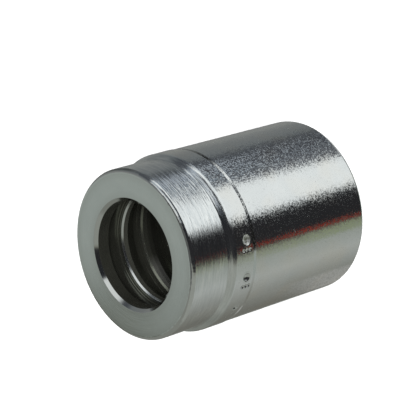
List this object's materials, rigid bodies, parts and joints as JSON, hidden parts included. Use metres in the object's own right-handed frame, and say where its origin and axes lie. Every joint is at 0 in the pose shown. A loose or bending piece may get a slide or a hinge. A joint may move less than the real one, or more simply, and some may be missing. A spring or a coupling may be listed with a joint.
{
  "type": "crimp hose ferrule",
  "caption": "Turned zinc-plated steel sleeve that is crimped over a hydraulic hose and its hose tail, with a stepped nose, a gripping lip and barbed ridges in its bore.",
  "frame": {"origin": "centre of the open hose end's face, on the axis of the bore", "axes": "+Z along the bore, from the open hose end up to the lip end"},
  "size_m": [0.0302, 0.0302, 0.0394],
  "materials": {
    "zinc_plated_steel": "bright zinc plate over turned steel: fine crystal grain on the body, ring marks from turning on the nose"
  },
  "bodies": {
    "root": {"ferrule": "zinc_plated_steel"}
  },
  "joints": []
}
